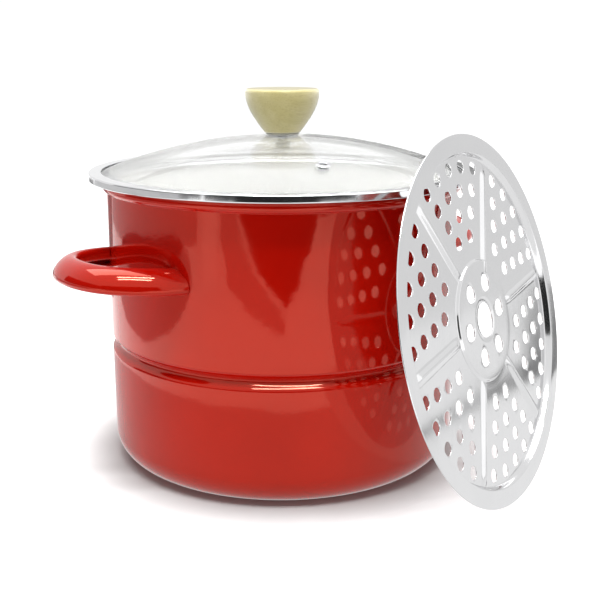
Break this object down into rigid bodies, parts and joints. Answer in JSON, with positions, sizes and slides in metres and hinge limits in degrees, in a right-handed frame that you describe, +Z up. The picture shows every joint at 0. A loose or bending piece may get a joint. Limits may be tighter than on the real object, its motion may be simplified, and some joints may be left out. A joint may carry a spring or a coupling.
{
  "type": "enamel casserole pot",
  "caption": "Deep enamelled steel casserole pot with loop handles, a domed glass lid with a wooden knob, and a perforated steamer plate leaning on the lid's rim.",
  "frame": {"origin": "middle of the pot's flat base, on the surface it stands on", "axes": "+Z up along the pot's axis, handles along +X and -X, the steamer plate leans towards -Y"},
  "size_m": [0.3322, 0.3273, 0.2523],
  "materials": {
    "red_enamel": "gloss vitreous enamel, white inside the pot",
    "clear_glass": "clear tempered glass",
    "polished_steel": "polished stainless steel",
    "plate_steel": "bright rolled stainless steel",
    "screw_steel": "plain stainless steel",
    "pale_wood": "turned pale hardwood, matt lacquer",
    "brass": "plain turned brass",
    "silicone": "matt translucent white silicone"
  },
  "bodies": {
    "pot": {"pot_body": "red_enamel", "handle_left": "red_enamel", "handle_right": "red_enamel"},
    "lid": {"lid_band": "polished_steel", "lid_glass": "clear_glass", "steam_vent": "polished_steel", "knob": "pale_wood", "knob_insert": "brass", "knob_seat": "silicone", "glass_gasket": "silicone", "screw_washer": "screw_steel", "knob_screw": "screw_steel"},
    "plate": {"steamer_plate": "plate_steel"}
  },
  "joints": [
    {"name": "lid_lift", "type": "slide", "parent": "pot", "child": "lid", "axis": [-0.1203, 0.3202, 0.9397], "range_m": [0, 0.2]},
    {"name": "steamer_plate_lift", "type": "slide", "parent": "pot", "child": "plate", "axis": [0, 0, 1], "range_m": [0, 0.3]}
  ]
}
